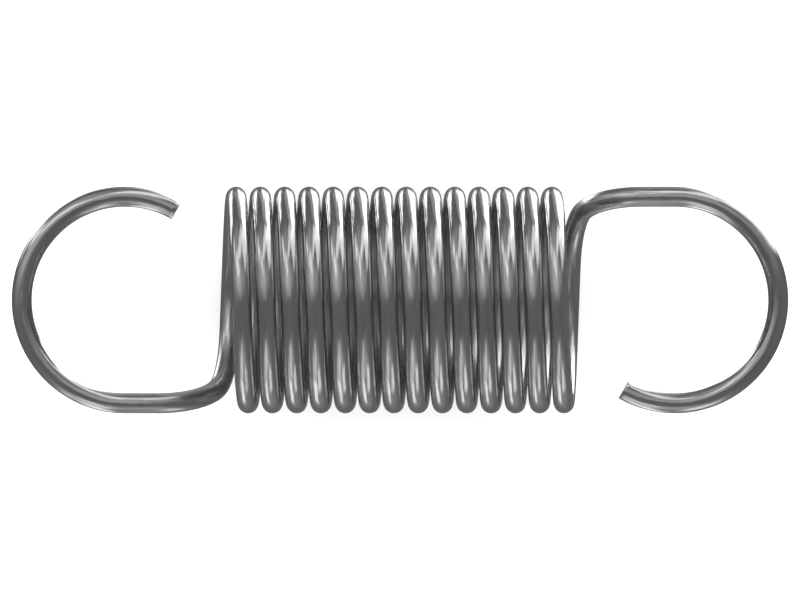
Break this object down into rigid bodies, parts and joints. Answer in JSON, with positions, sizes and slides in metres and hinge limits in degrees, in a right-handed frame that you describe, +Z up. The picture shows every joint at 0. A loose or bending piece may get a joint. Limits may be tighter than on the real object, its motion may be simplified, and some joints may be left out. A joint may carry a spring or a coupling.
{
  "type": "extension spring",
  "caption": "Extension spring of round bright steel wire: an open coil with an open round hook at each end, both hooks in one plane through the coil's axis.",
  "frame": {"origin": "under the middle of the coil, at the height of the surface the spring lies on", "axes": "+X along the coil's axis, +Y across it in the plane of the two hooks, +Z up, away from the surface the spring lies on"},
  "size_m": [0.0768, 0.0224, 0.0224],
  "materials": {
    "spring_wire": "polished"
  },
  "bodies": {
    "root": {"spring": "spring_wire"}
  },
  "joints": []
}
